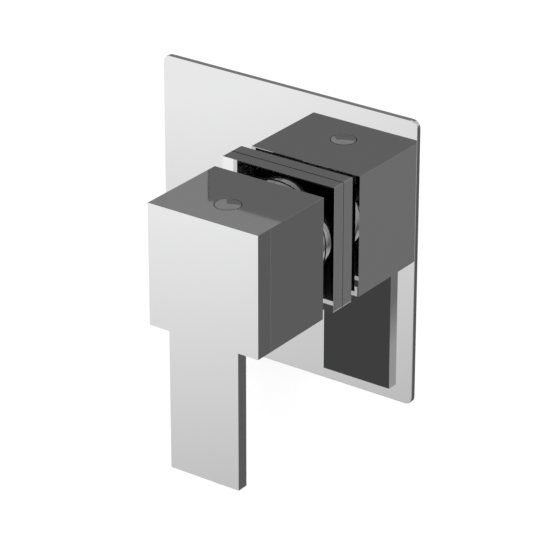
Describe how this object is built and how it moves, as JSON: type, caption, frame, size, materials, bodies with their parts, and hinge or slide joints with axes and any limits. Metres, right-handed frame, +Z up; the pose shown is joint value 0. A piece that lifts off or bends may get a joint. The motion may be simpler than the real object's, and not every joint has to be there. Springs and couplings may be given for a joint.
{
  "type": "concealed shower valve",
  "caption": "Concealed single-lever shower valve: square wall plate and sleeve, round cap, hollow block handle with flat lever, brass body with ceramic-disc cartridge.",
  "frame": {"origin": "where the valve's axis crosses the surface of the wall, at the centre of the wall plate's back", "axes": "+X right and +Z up for someone facing the wall, +Y into the wall"},
  "size_m": [0.12, 0.1137, 0.1473],
  "materials": {
    "body_brass": "sand-cast, machined at the ports",
    "nut_brass": "turned",
    "stem_brass": "drawn and milled",
    "washer_fibre": "red fibre",
    "seal_rubber": "moulded, matte",
    "gasket_foam": "closed-cell foam",
    "cartridge_plastic": "moulded",
    "disc_ceramic": "ground and lapped ceramic",
    "bush_plastic": "moulded",
    "pin_steel": "ground",
    "plate_chrome": "mirror polished",
    "sleeve_chrome": "mirror polished",
    "cap_chrome": "mirror polished",
    "handle_chrome": "mirror polished",
    "index_chrome": "mirror polished"
  },
  "bodies": {
    "body": {"valve_body": "body_brass", "bottom_plug": "body_brass", "plug_washer": "washer_fibre", "port_seals": "seal_rubber", "cartridge_base": "cartridge_plastic", "disc_seals": "seal_rubber", "fixed_disc": "disc_ceramic", "cartridge_shell": "cartridge_plastic", "retaining_nut": "nut_brass", "cap_oring": "seal_rubber", "dome_cap": "cap_chrome", "collar_orings": "seal_rubber", "square_sleeve": "sleeve_chrome", "sleeve_seal": "seal_rubber", "wall_plate": "plate_chrome", "plate_gasket": "gasket_foam"},
    "turning": {"rotor": "cartridge_plastic", "rotor_oring": "seal_rubber", "pivot_pin": "pin_steel"},
    "disc": {"disc_carrier": "cartridge_plastic", "moving_disc": "disc_ceramic"},
    "handle": {"lever_handle": "handle_chrome", "stem_bush": "bush_plastic", "stem": "stem_brass", "grub_screw": "pin_steel", "index_plug": "index_chrome"}
  },
  "joints": [
    {"name": "temperature", "type": "hinge", "parent": "body", "child": "turning", "pos_m": [0, 0, 0], "axis": [0, 1, 0], "range_deg": [-45, 45]},
    {"name": "flow", "type": "hinge", "parent": "turning", "child": "handle", "pos_m": [0, -0.0039, 0], "axis": [-1, 0, 0], "range_deg": [0, 12.5]},
    {"name": "disc_slide", "type": "slide", "parent": "turning", "child": "disc", "axis": [0, 0, -1], "range_m": [0, 0.0031]}
  ],
  "couplings": [
    {"joint": "disc_slide", "follows": "flow", "m_per_rad": 0.014}
  ]
}
